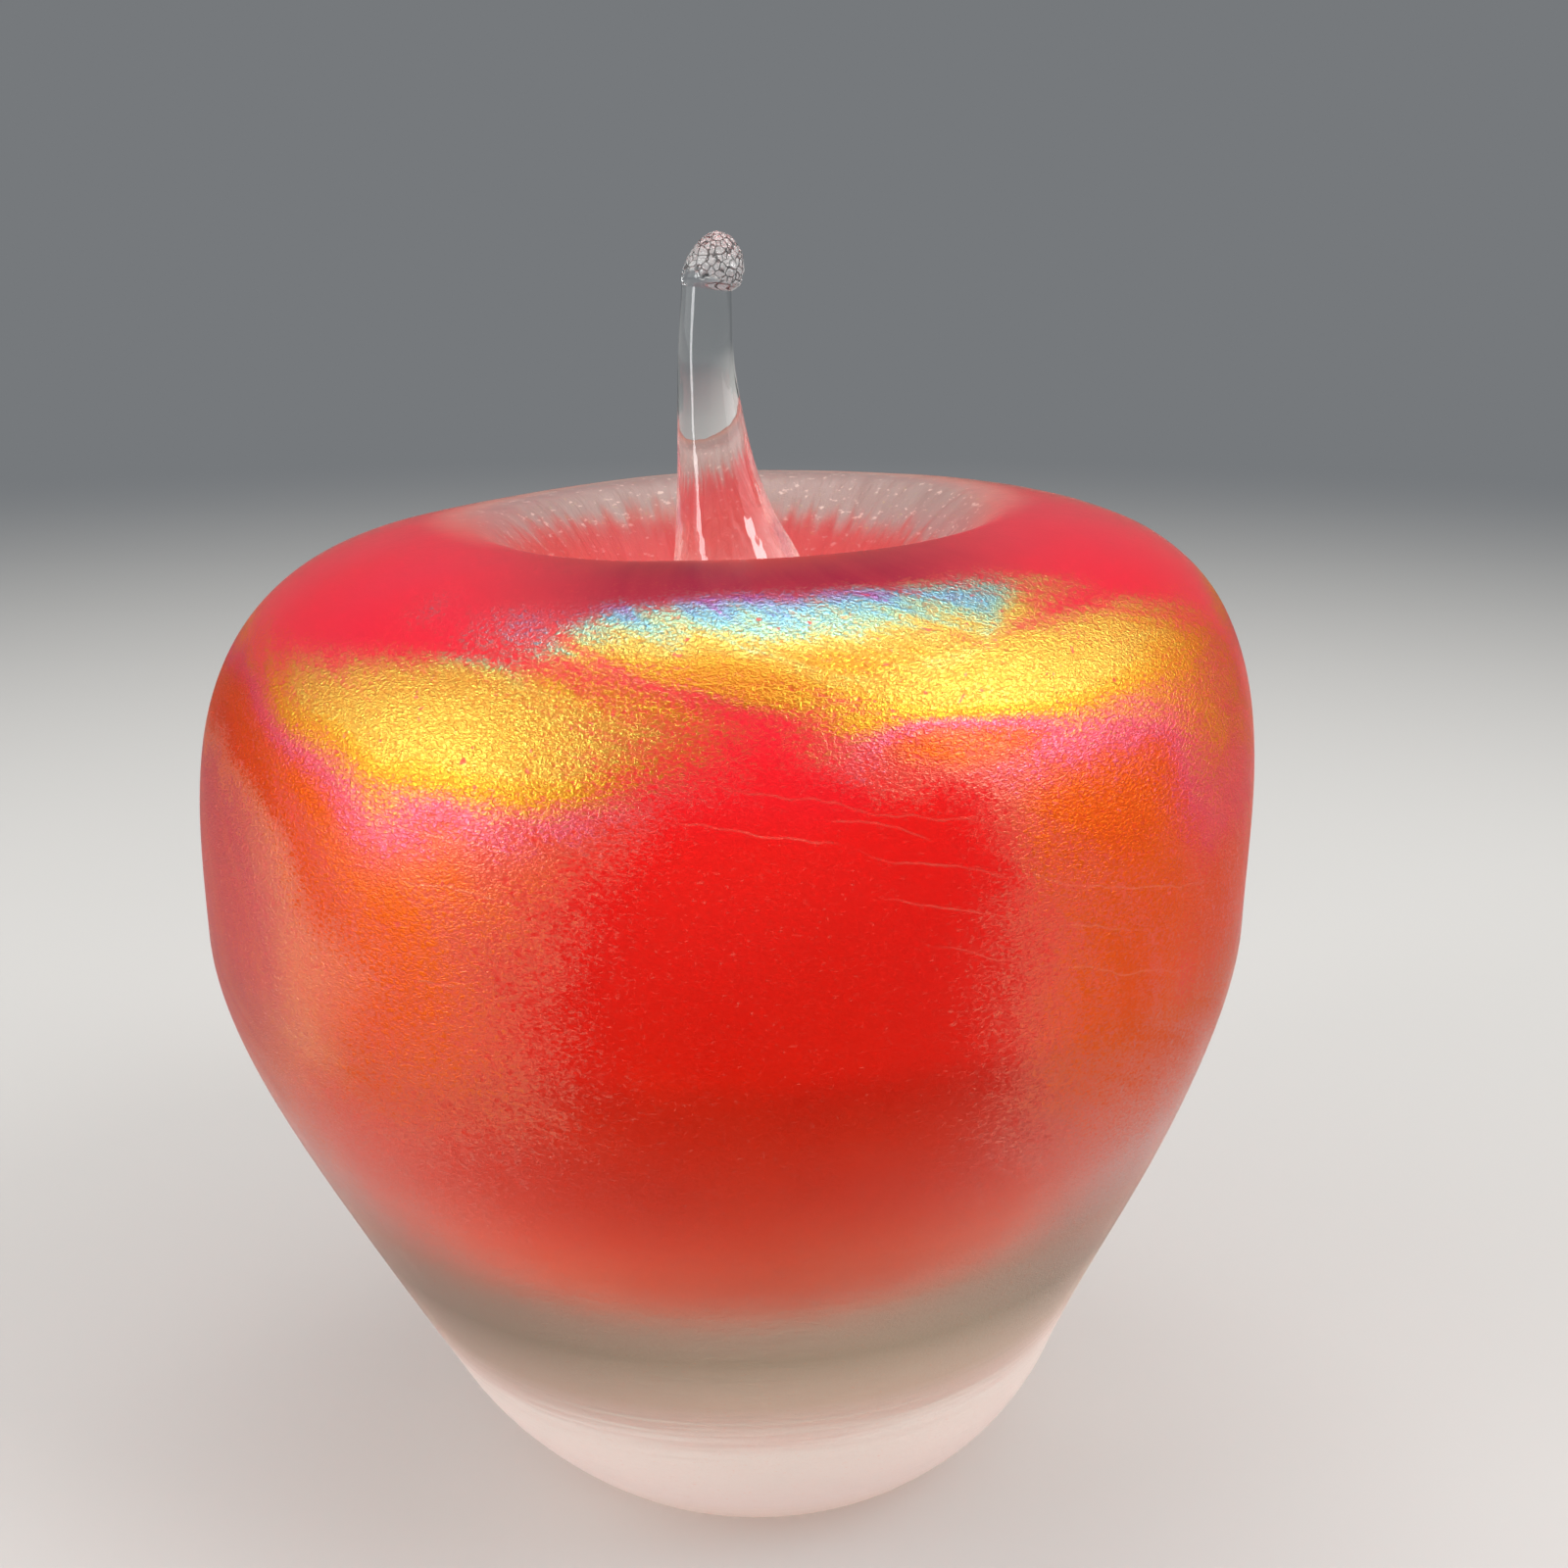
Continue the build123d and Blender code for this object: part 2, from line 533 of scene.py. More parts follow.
# Where its order departs from the rise of the surface, in the same terms
order_ovals = (
    (-25, 20, 32, 34, 0, 0.15),
    (-29, 34, 31, 16, -12, 0.16),
    (46, 20, 24, 28, 0, 0.08),
    (28, 38, 20, 13, 0, 0.10),
    (23, 27, 11, 7, -10, -0.14),
    (3, 44, 22, 12, 0, -0.04),
    (-12, 43, 14, 13, 0, -0.12),
    (2, 62, 24, 20, 0, -0.08),
    (28, 36, 12, 9, -6, 0.06),
    (-70, -2, 42, 60, 0, -0.18),
    (66, -4, 30, 34, 0, 0.34),
    (-155, 34, 36, 30, 0, 0.20),
    (140, 34, 36, 30, 0, 0.16),
)

# The film reaches its blue and violet orders only near the top of the front and of the back
thick_ovals = (
    (-2, 59, 20, 23, 8, 0.38),
    (168, 62, 26, 22, -8, 0.30),
)
thin_limit = 0.71
thin_limit_swing = 0.05

# Its thinnest order, peach and lilac, is on the left side alone
thin_oval = (-67, -2, 44, 62, 0, 0.16)
thin_streaks = (0.85, 1.15)
usual_least = 0.18
least_swing = 0.04

# The film fades out towards the dimple and down the side. Radii and heights in mm
film_radii = (20.0, 26.0)
film_heights = (18.0, 58.0)

# Rise of the surface over which the film turns from grainy to streaky
streaky_rise = (0.45, 0.80)
strength_shares = (0.5, 1.0)
feather_shares = (0.07, 0.17)
patch_scale = 0.13
patch_swing = 0.12
speckle_swing = 0.15
speckle_shares = (1.0, 0.45)

# Grains and pinholes break up the film where it is weak. The thick film hides more of what is below it
shown_levels = (0.08, 0.86)
sparkle_share = 0.55
pinhole_scale = 1.5
pinhole_levels = (0.70, 0.78)
pinhole_share = 0.7
cover_orders = (0.70, 0.84)
cover_shares = (0.56, 0.88)
grain_cover = (0.55, 1.45)

# Clouds that the film drifts in, streaks that fall to the right, and fine grain
drift_scale = 0.07
drift_reach = 0.3
streak_pattern = (11.0, 12.0)
streak_fall = 60.0
grain_stretch = (3.2, 3.2, 5.6)

# Drawn creases, with painted glints of light along them: first and last angle from the front in degrees,
# height at the first and fall in mm
creases = (
    (-3, 31, 71.8, 4.6),
    (11, 60, 67.6, 9.5),
    (14, 44, 64.1, 6.0),
    (18, 55, 60.9, 8.5),
    (10, 20, 69.4, 2.0),
    (-4, 12, 69.2, 1.6),
    (-30, -15, 67.1, 0.4),
    (-29, -14, 64.0, 0.3),
    (-27, -21, 57.4, -0.3),
    (105, 150, 68.0, 6.0),
    (120, 140, 62.0, 3.0),
    (-165, -130, 66.0, 4.0),
    (-120, -95, 60.0, 2.0),
)
crease_half_width = 0.12
crease_swerve = 0.9
crease_swerve_scale = 0.16
crease_seed_step = 3.7
crease_end_shares = (0.15, 0.25)
crease_gap_scale = 1.1
crease_gap_spread = (0.0, 1.6)
# Painted glint: the pale orange that lines the creases
crease_glint_colour = rgb(255, 176, 140)
crease_glint_share = 0.7
crease_metal = 0.22

# Bare glass of the casing

glass_ior = 1.5
clear_tint = (1.0, 0.985, 0.965, 1.0)
casing_shadow_tint = (0.88, 0.855, 0.83, 1.0)

# Colours of the clear glass by its height, as shares of a span in mm. The grey-olive band from 0.41 to
# 0.64 is painted shade: dark surroundings seen through the foot
clear_span = 50.0
clear_and_shade_stops = (
    (0.00, rgb(255, 232, 214)),
    (0.14, rgb(255, 243, 238)),
    (0.32, rgb(246, 243, 235)),
    (0.41, rgb(182, 177, 150)),
    (0.52, rgb(136, 130, 101)),
    (0.64, rgb(206, 178, 150)),
    (0.76, clear_tint),
    (0.96, rgb(255, 196, 172)),
)

# The dimple, in mm: it reaches further out at the back than at the front
dimple_radii = (14.0, 21.0)
dimple_heights = (55.0, 60.0)
dimple_back_reach = 9.0

# Its frosted back rim, whose grey is a painted sheen, its pale middle, and the salmon between them with
# pale specks
rim_radii = (16.2, 18.8)
rim_back_shares = (0.1, 0.8)
middle_radii = (8.0, 14.0)
salmon = rgb(214, 122, 112)
middle_colour = rgb(240, 200, 194)
rim_sheen_grey = rgb(164, 144, 139)
speck_colour = rgb(250, 226, 214)
speck_levels = (0.60, 0.72)
speck_stretch = (1.3, 1.3, 2.6)
speck_share = 0.55
dimple_frost = 0.26
middle_frost = 0.26
rim_frost = 0.40

# Rays drawn down the dimple
ray_pattern = (90.0, 0.18)
ray_reach = 2.2
ray_frost = (0.6, 1.4)

# The milky glass low on the foot, wiped round. Heights in mm
milk_heights = (13.0, 20.0)
milk_swing = 6.0
milk_frost = 0.60
wiped_pattern = (9.0, 2.2)

# Painted shade: a darker wine colour on the front of the dimple's lip, where the lip lies in shade. Reach
# sideways in mm from its middle
lip_shade_oval = (4, 78, 24, 17, 0)
lip_shade_streaks = (0.75, 1.25)
lip_shade_middle = 3.0
lip_shade_reach = (6.0, 24.0)
lip_shade_front_shares = (0.2, 0.7)
lip_shade_colour = rgb(172, 62, 116)
lip_shade_share = 0.9
lip_shade_metal = 0.42

# Relief: orange peel under the film, ripples, wiped lines on the foot and rays in the dimple
grain_relief = 0.12 * MM
grain_relief_shares = (0.2, 1.0)
ripple_stretch = (0.5, 0.5, 1.1)
ripple_relief = (0.10 * MM, 0.25)
wiped_relief = 0.10 * MM
wiped_relief_share = 0.35
wiped_heights = (18.0, 30.0)
ray_relief = 0.20 * MM
ray_relief_share = 0.8

# Satin all over, and ground matte under the foot. Depths in mm
satin_roughness = (0.30, 0.36)
film_more_roughness = 0.04
dimple_more_roughness = 0.06
ground_roughness = 0.55
ground_depths = (-0.35, -0.15)

# Sheen: plain on the foot, in the dimple and on the crest, and warm on the body between them
plain_heights = (16.0, 28.0)
plain_rise = (0.80, 0.97)
body_rise = (0.2, 0.8)
low_sheen = rgb(205, 96, 52)
high_sheen = rgb(255, 160, 168)
plain_sheen = rgb(245, 235, 232)


class CasingShader(Shader):
    """The casing's nodes, with the measures and patterns that its looks share. Lengths are in mm."""

    def __init__(self):
        super().__init__("casing_glass")
        self.x, self.y, self.z, self.point = self.place()
        geometry = self.node("NewGeometry")
        self.facing = geometry.outputs["Normal"]
        self.from_outside = self.rest(geometry.outputs["Backfacing"])
        self.facing_up = self.dot(self.facing, (0, 0, 1))
        self.front = self.around_front()
        self.radius = self.from_axis(self.x, self.y)
        self.to_back = self.towards_back()
        self.dimple = self.inside_dimple()
        self.drifted = self.drifted_normal()
        fall = self.product(self.front, streak_fall)
        self.streaks = self.wrapped(self.facing_up, *streak_pattern, fall, Detail=4.0, Roughness=0.6)
        self.streaky = self.step(*streaky_rise, self.facing_up)
        self.grain = self.noise(self.stretched(self.point, grain_stretch), Distortion=0.8)
        self.rays = self.wrapped(self.radius, *ray_pattern, Detail=4.0, Roughness=0.6)
        self.wiped = self.wrapped(self.z, *wiped_pattern, Detail=3.0)

    def around_front(self):
        """Angle round the apple as a number from 0 to 1: 0.5 faces the viewer, 0.75 is the right side."""
        angle = self.math("ARCTAN2", self.x, self.product(self.y, -1.0))
        return self.total(self.math("DIVIDE", angle, 2 * math.pi), 0.5)

    def towards_back(self):
        """0 at the front, 0.5 on the sides and 1 at the back."""
        share = self.math("DIVIDE", self.y, self.total(self.radius, 0.1))
        return self.total(0.5, self.product(share, 0.5))

    def inside_dimple(self):
        """1 in the dimple, 0 outside it."""
        reach = self.less(self.radius, self.product(self.to_back, dimple_back_reach))
        return self.product(self.rest(self.step(*dimple_radii, reach)), self.step(*dimple_heights, self.z))

    def drifted_normal(self):
        """The way the surface faces, moved about by broad clouds."""
        cloud = self.noise(self.point, drift_scale, Detail=3.0, output="Color")
        warp = self.stretched(cloud, 3 * (drift_reach,))
        warped = self.vector_math("ADD", self.facing, warp).outputs[0]
        return self.vector_math("SUBTRACT", warped, 3 * (drift_reach / 2,)).outputs[0]

    def wrapped(self, measure, turns, rows, fall=None, **kinds):
        """Noise wrapped round the apple, with a number of turns, and of rows along a measure."""
        up = self.product(measure, rows)
        if fall is not None:
            up = self.total(up, fall)
        return self.noise(self.combined(self.product(self.front, turns), up), **kinds)

    def swung(self, pattern, amount, shares):
        """Swings of a pattern, with their shares where the film is grainy and where it is streaky."""
        return self.product(self.swing(pattern, amount), self.between(self.streaky, *shares))

    def film_strength(self):
        """How much film there is, from 0 to 1."""
        strength = 0.0
        for *oval, weight in lustre_ovals:
            strength = self.most(strength, self.product(self.oval(self.drifted, *oval), weight))
        uneven = self.swung(self.streaks, 1.0, strength_shares)
        strength = self.product(strength, self.total(1.0, uneven))
        strength = self.math("MULTIPLY", strength, self.step(*film_radii, self.radius), clamp=True)
        strength = self.product(strength, self.from_outside, self.step(*film_heights, self.z))
        return self.product(strength, self.rest(self.dimple))

    def film_order(self):
        """Place in the row of the film's colours, from 0 to 1. It grows as the surface turns up."""
        feathers = self.swung(self.streaks, 1.0, feather_shares)
        patches = self.swing(self.noise(self.point, patch_scale), patch_swing)
        speckle = self.swung(self.grain, speckle_swing, speckle_shares)
        order = self.total(self.facing_up, feathers, patches, speckle)
        order = self.with_ovals(order, self.facing, order_ovals)
        limit = self.between(self.grain, thin_limit - thin_limit_swing, thin_limit + thin_limit_swing)
        thickest = self.with_ovals(limit, self.drifted, thick_ovals)
        *oval, less = thin_oval
        thinner = self.product(self.oval(self.drifted, *oval), less)
        thinner = self.product(thinner, self.between(self.streaks, *thin_streaks))
        thinnest = self.total(self.less(usual_least, thinner), self.swing(self.grain, least_swing))
        return self.most(self.math("MINIMUM", order, thickest), thinnest)

    def film_shown(self, strength):
        """Where the film shows, broken up by grains and pinholes."""
        sparkle = self.product(self.swing(self.grain, 1.0), sparkle_share)
        shown = self.step(*shown_levels, self.total(strength, sparkle))
        pinholes = self.step(*pinhole_levels, self.noise(self.point, pinhole_scale, Detail=1.0))
        return self.product(shown, self.rest(self.product(pinholes, pinhole_share)))

    def crease_lines(self):
        """1 along the thin drawn creases, where pale glints are painted, 0 elsewhere, with gaps."""
        angle = self.product(self.less(self.front, 0.5), 360.0)
        lines = 0.0
        for number, (start, end, height, fall) in enumerate(creases):
            run = self.math("DIVIDE", self.less(angle, start), end - start)
            along = self.combined(self.product(angle, crease_swerve_scale), crease_seed_step * number)
            swerve = self.swing(self.noise(along), crease_swerve)
            line = self.total(height, self.product(run, -fall), swerve)
            apart = self.math("ABSOLUTE", self.less(self.z, line))
            near = self.rest(self.step(0.0, crease_half_width, apart))
            ends = [self.step(0.0, end, at) for end, at in zip(crease_end_shares, (run, self.rest(run)))]
            lines = self.most(lines, self.product(near, self.product(*ends)))
        gaps = self.between(self.noise(self.point, crease_gap_scale), *crease_gap_spread)
        return self.product(lines, gaps)

    def dimple_look(self):
        """Colour and frost of the dimple."""
        ragged = self.total(self.radius, self.swing(self.rays, ray_reach))
        rim = self.product(self.step(*rim_radii, ragged), self.step(*rim_back_shares, self.to_back))
        middle = self.rest(self.step(*middle_radii, ragged))
        speckled = self.noise(self.stretched(self.point, speck_stretch), Detail=3.0)
        specks = self.product(self.step(*speck_levels, speckled), speck_share)
        colour = self.mix_colour(middle, salmon, middle_colour)
        # Painted sheen: the back rim's grey stands for a reflection
        colour = self.mix_colour(rim, colour, rim_sheen_grey)
        colour = self.mix_colour(specks, colour, speck_colour)
        frost = self.total(dimple_frost, self.product(middle, middle_frost), self.product(rim, rim_frost))
        return colour, self.product(frost, self.dimple, self.between(self.rays, *ray_frost))

    def foot_frost(self):
        """Frost of the milky glass low on the foot."""
        height = self.total(self.z, self.swing(self.wiped, milk_swing))
        return self.product(self.rest(self.step(*milk_heights, height)), milk_frost)

    def lip_painted_shade(self):
        """Where shade is painted: 1 in the middle of the dimple's front lip, 0 away from it."""
        lip = self.oval(self.drifted, *lip_shade_oval)
        lip_shade = self.product(lip, self.from_outside, self.between(self.streaks, *lip_shade_streaks))
        sideways = self.math("ABSOLUTE", self.less(self.x, lip_shade_middle))
        lip_shade = self.product(lip_shade, self.rest(self.step(*lip_shade_reach, sideways)))
        return self.product(lip_shade, self.step(*lip_shade_front_shares, self.rest(self.to_back)))

    def relief(self, strength):
        """Normal of the wrinkled surface."""
        foot = self.rest(self.step(*wiped_heights, self.z))
        ripples = self.noise(self.stretched(self.point, ripple_stretch))
        normal = self.bump(self.grain, grain_relief, self.between(strength, *grain_relief_shares))
        normal = self.bump(ripples, *ripple_relief, under=normal)
        wiped_share = self.product(foot, wiped_relief_share)
        normal = self.bump(self.wiped, wiped_relief, wiped_share, under=normal)
        return self.bump(self.rays, ray_relief, self.product(self.dimple, ray_relief_share), under=normal)

    def satin(self, strength):
        """Roughness."""
        satin = self.total(
            self.between(self.streaks, *satin_roughness),
            self.product(strength, film_more_roughness),
            self.product(self.dimple, dimple_more_roughness),
        )
        ground = self.step(*ground_depths, self.product(self.z, -1.0))
        return self.most(satin, self.product(ground, ground_roughness))

    def sheen(self):
        """Tint of the reflections."""
        plain = self.most(self.rest(self.step(*plain_heights, self.z)), self.dimple)
        plain = self.most(plain, self.step(*plain_rise, self.facing_up))
        body = self.mix_colour(self.step(*body_rise, self.facing_up), low_sheen, high_sheen)
        return self.mix_colour(plain, body, plain_sheen)


def make_casing_glass():
    """Clear satin glass: a fumed lustre over the shoulders, a frosty dimple and a clear ground foot."""
    shader = CasingShader()
    strength = shader.film_strength()
    order = shader.film_order()
    shown = shader.film_shown(strength)
    crease = shader.crease_lines()
    lip_shade = shader.lip_painted_shade()
    dimple_colour, frost = shader.dimple_look()
    frost = shader.most(frost, shader.foot_frost())

    # Painted shade: the grey-olive band low on the foot
    clear_and_shade_colour = shader.ramp(shader.math("DIVIDE", shader.z, clear_span, clamp=True), clear_and_shade_stops)
    base = shader.mix_colour(shader.dimple, clear_and_shade_colour, dimple_colour)
    # Painted shade: a darker wine colour on the lip's front
    base = shader.mix_colour(shader.product(lip_shade, lip_shade_share), base, lip_shade_colour)
    base = shader.mix_colour(shown, base, shader.ramp(order, film_stops))
    # Painted glint: pale orange along the creases
    base = shader.mix_colour(shader.product(crease, crease_glint_share), base, crease_glint_colour)

    coverage = shader.between(shader.step(*cover_orders, order), *cover_shares)
    metal = shader.product(shown, coverage, shader.between(shader.grain, *grain_cover))
    metal = shader.most(metal, shader.product(crease, crease_metal))
    metal = shader.most(metal, shader.product(lip_shade, lip_shade_metal), clamp=True)

    glass = shader.principled(
        Base_Color=base,
        Metallic=metal,
        Roughness=shader.satin(strength),
        IOR=glass_ior,
        Normal=shader.relief(strength),
        Transmission_Weight=shader.rest(frost),
        Specular_Tint=shader.sheen(),
    )
    return shader.finish_glass(glass, casing_shadow_tint)


# Glass of the other pieces

# Red layer: colours by height, as shares of the apple's height, with clouds in mm and faint streaks. The
# bright orange low down is partly its own colour and partly painted light, where the lower side gets
# little light; the pink top stop is partly painted sheen
red_stops = (
    (0.30, rgb(255, 112, 50)),
    (0.45, rgb(250, 72, 28)),
    (0.60, rgb(208, 20, 8)),
    (0.80, rgb(226, 24, 36)),
    (0.93, rgb(218, 40, 84)),
)
red_cloud_scale = 0.05
red_cloud_swing = 8.0
red_streak_stretch = (0.2, 0.2, 0.05)
red_streak_shares = (0.0, 0.2)
red_streak_colour = rgb(250, 50, 20)
red_roughness = 0.6

# Opal core
opal_cloud_scale = 0.12
opal_stops = ((0.35, rgb(232, 220, 196)), (0.65, rgb(248, 242, 226)))
opal_roughness = 0.35

# Stem
stem_colour = (0.95, 0.965, 0.955, 1.0)
stem_shadow_tint = (0.97, 0.97, 0.97, 1.0)
stem_roughness = 0.02
cord_stretch = (1.0, 1.0, 0.05)
cord_relief = (0.12 * MM, 0.5)

# Tip: the crackle starts in a ragged slant over the neck, in mm. Cracks run between cells
tip_colour = (0.97, 0.98, 0.98, 1.0)
tip_shadow_tint = (0.9, 0.9, 0.9, 1.0)
crackle_rise = (0.7, 1.3)
crackle_slant_share = 0.35
crackle_edge_scale = 0.9
crackle_edge_swing = 1.2
crackle_roughness = (0.03, 0.09)
crackle_clearness = (1.0, 0.80)
crack_cell_scale = 1.7
crack_width = 0.10
crack_gap_scale = 0.8
crack_gap_levels = (0.10, 0.42)
crack_colour = rgb(46, 43, 43)
crack_relief = 0.15 * MM
facet_scale = 3.0
facet_relief = 0.12 * MM
facet_relief_share = 0.8


def make_red_glass():
    """Dense red glass, crimson under the shoulders and orange at its lower end, with painted light in the
    bright low orange and painted sheen in the pink top.
    """
    shader = Shader("red_glass")
    x, y, z, place = shader.place()
    cloud = shader.noise(place, red_cloud_scale, Detail=3.0)
    height = shader.total(z, shader.swing(cloud, red_cloud_swing))
    share = shader.math("DIVIDE", height, (foot_drop + crest_rise) / MM, clamp=True)
    streak = shader.noise(shader.stretched(place, red_streak_stretch), Detail=3.0)
    streak_share = shader.between(streak, *red_streak_shares)
    colour = shader.mix_colour(streak_share, shader.ramp(share, red_stops), red_streak_colour)
    glass = shader.principled(Base_Color=colour, Roughness=red_roughness, Specular_IOR_Level=0.0)
    return shader.finish(glass)


def make_opal_glass():
    """Ivory opal glass with soft clouds."""
    shader = Shader("opal_glass")
    place = shader.place()[3]
    colour = shader.ramp(shader.noise(place, opal_cloud_scale, Detail=4.0), opal_stops)
    return shader.finish(shader.principled(Base_Color=colour, Roughness=opal_roughness))


def make_stem_glass():
    """Clear fire-polished glass with faint drawn cords."""
    shader = Shader("stem_glass")
    place = shader.place()[3]
    cords = shader.noise(shader.stretched(place, cord_stretch), Detail=1.0)
    glass = shader.principled(
        Base_Color=stem_colour,
        Roughness=stem_roughness,
        IOR=glass_ior,
        Normal=shader.bump(cords, *cord_relief),
        Transmission_Weight=1.0,
    )
    return shader.finish_glass(glass, stem_shadow_tint)


def make_crackled_glass():
    """Frosty glass, broken into small facets."""
    shader = Shader("crackled_glass")
    x, y, z, place = shader.place()
    start = neck_place / MM
    slant = shader.product(shader.less(x, start.x), crackle_slant_share)
    ragged = shader.swing(shader.noise(place, crackle_edge_scale), crackle_edge_swing)
    crackle = shader.step(*crackle_rise, shader.total(shader.less(z, start.z), slant, ragged))
    cells = shader.node("TexVoronoi", Vector=place, Scale=crack_cell_scale)
    cells.feature = "DISTANCE_TO_EDGE"
    crack = shader.rest(shader.step(0.0, crack_width, cells.outputs["Distance"]))
    crack = shader.product(crack, shader.step(*crack_gap_levels, shader.noise(place, crack_gap_scale)))
    crack = shader.product(crack, crackle)
    facets = shader.noise(place, facet_scale, Detail=3.0)
    normal = shader.bump(facets, facet_relief, shader.product(crackle, facet_relief_share))
    glass = shader.principled(
        Base_Color=shader.mix_colour(crack, tip_colour, crack_colour),
        Roughness=shader.between(crackle, *crackle_roughness),
        IOR=glass_ior,
        Normal=shader.bump(crack, -crack_relief, under=normal),
        Transmission_Weight=shader.between(crackle, *crackle_clearness),
    )
    return shader.finish_glass(glass, tip_shadow_tint)


def make_joint_glass():
    """The fused joint between two pieces of clear glass, where light goes straight on."""
    shader = Shader("fused_joint")
    clear = shader.node("BsdfTransparent", Color=(1.0, 1.0, 1.0, 1.0))
    return shader.finish(clear.outputs[0])


# Pieces

casing_density = 22
casing_around = 360
cavity_density = 8
cavity_around = 120
red_density = 14
red_around = 256
stem_rows = 120
stem_around = 120
stem_first_share = 0.03
seat_rows = 10
tip_rows = 90
tip_around = 140

# Lumps and dents of the casing: length and height of the waves, and how many there are
casing_lumps = (34 * MM, 0.16 * MM, 9)
casing_dents = (9 * MM, 0.02 * MM, 14)
dent_full_rise = 20 * MM
even_round_stem = (9 * MM, 13 * MM)
even_over_foot = (0.1 * MM, 4 * MM)

# Grooves down the dimple, mostly at its back right. Angles: middle and spread, in degrees. Sizes in mm
groove_count = 70
groove_angles = (55, 38)
groove_widths = (0.25, 0.6)
groove_depths = (0.03, 0.12)
groove_inner_radii = (9, 13)
groove_outer_radii = (15, 20)
groove_swerve = 0.12
groove_swerve_length = 10 * MM
groove_fade_in = 2 * MM
groove_fade_out = MM

# Faint ridges round the stem: depth as a share, how many, and how they turn on the way up
stem_ridges = ((0.008, 3, 3), (0.003, 7, -4))

# Facets of the tip, with a crack between each two. The crackle starts higher on the left
facet_count = 150
facet_step = 0.05
facet_crack_depth = 0.09 * MM
facet_crack_width = 0.012
facet_start_shares = (0.18, 0.42)
facet_start_lean = 0.08
tip_cap_shares = (0.85, 0.7, 0.5, 0.3, 0.12)
tip_foot_shares = (0.3, 0.65)

# How near a face lies to a joint, and how squarely it faces it
seat_margin = 0.05 * MM
seat_facing = -0.2
neck_margin = 0.03 * MM
neck_facing = 0.99


def past_crest(outline):
    """True for the places of an outline that lie inside its crest."""
    return np.arange(len(outline))[:, None] > np.argmax(outline[:, 1])


def dimple_grooves(grid, outline):
    """Depth of the grooves that run down the dimple's wall."""
    radius = outline[:, 0][:, None]
    angle = np.arctan2(grid[..., 1], grid[..., 0])
    depth = np.zeros(grid.shape[:2])
    for _ in range(groove_count):
        middle = random_places.normal(*np.radians(groove_angles))
        width = random_places.uniform(*groove_widths) * MM
        deep = random_places.uniform(*groove_depths) * MM
        inner = random_places.uniform(*groove_inner_radii) * MM
        outer = random_places.uniform(*groove_outer_radii) * MM
        swerve = random_places.normal(0, groove_swerve)
        off = angle - middle - swerve * (radius - inner) / groove_swerve_length
        off = (off + math.pi) % (2 * math.pi) - math.pi
        across = np.exp(-((off * radius / width) ** 2))
        begun = smoothstep(inner - groove_fade_in, inner + groove_fade_out, radius)
        ended = smoothstep(outer - groove_fade_in, outer + groove_fade_out, radius)
        depth += deep * across * (begun * (1 - ended))
    return depth * past_crest(outline)


def make_casing():
    """The thick clear casing: its outside, and the cavity that the red layer fills."""
    outline = clear_outline(casing_density)
    grid = leaning_grid(outline, casing_around)
    rise = outline[:, 1][:, None]
    near_stem = past_crest(outline) * (1 - smoothstep(*even_round_stem, outline[:, 0][:, None]))
    over_foot_low, over_foot_high = even_over_foot
    on_foot = 1 - smoothstep(-foot_drop + over_foot_low, -foot_drop + over_foot_high, rise)
    free = (1 - near_stem) * (1 - on_foot)
    lumps = waves(grid, *casing_lumps)
    dents = waves(grid, *casing_dents) * smoothstep(0, dent_full_rise, rise)
    swell = (lumps + dents) * free - dimple_grooves(grid, outline)
    grid = grid + grid_normals(grid) * swell[..., None]
    cavity = red_outline(cavity_lap, cavity_density)
    inside = leaning_grid(cavity, cavity_around)
    points = with_ends(grid, (foot_lean, 0, 0), axis_place(outline[-1, 1]))
    hollow = with_ends(inside, axis_place(cavity[0, 1]), axis_place(cavity[-1, 1]))
    faces = closed_faces(len(outline), casing_around, 0)
    faces += closed_faces(len(cavity), cavity_around, len(points), inward=True)
    casing = make_piece("satin_casing", np.vstack([points, hollow]), faces, make_casing_glass())
    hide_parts("clear_casing")


def make_red():
    """The red layer."""
    outline = red_outline(0.0, red_density)
    grid = leaning_grid(outline, red_around)
    points = with_ends(grid, axis_place(outline[0, 1]), axis_place(outline[-1, 1]))
    faces = closed_faces(len(outline), red_around, 0)
    red = make_piece("red_layer", points, faces, make_red_glass())
    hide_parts("red_overlay")


def drawn(shares, heights, at):
    """A smooth line through listed shares."""
    shares, heights = np.array(shares), np.array(heights)
    slope = np.gradient(shares, heights)
    index = np.clip(np.searchsorted(heights, at, side="right") - 1, 0, len(heights) - 2)
    width = heights[index + 1] - heights[index]
    t = (at - heights[index]) / width
    return float(
        shares[index] * (1 + 2 * t) * (1 - t) ** 2
        + slope[index] * width * t * (1 - t) ** 2
        + shares[index + 1] * t ** 2 * (3 - 2 * t)
        + slope[index + 1] * width * t ** 2 * (t - 1)
    )


def tilted_ring(radius, middle, height, tilt, around):
    """Ring of places whose right side is lowered by a tilt in degrees."""
    angle = turns(around)
    turn = math.radians(tilt)
    across = radius * np.cos(angle)
    return np.stack([
        middle + across * math.cos(turn),
        radius * np.sin(angle),
        height - across * math.sin(turn),
    ], axis=-1)


def scaled_ring(ring, shares):
    """The ring, with its distances from its middle scaled by shares."""
    middle = ring.mean(axis=0)
    return middle + (ring - middle) * shares


def dimple_ring(radius, around):
    """Ring of places on the dimple's surface at a radius from its middle."""
    outline = clear_outline(casing_density)
    wall = outline[np.argmax(outline[:, 1]):][::-1]
    rise = np.interp(radius, wall[:, 0], wall[:, 1])
    ring = leaning_grid(np.array([[radius, rise]]), around)[0]
    return ring + [0, 0, stem_seat_gap]


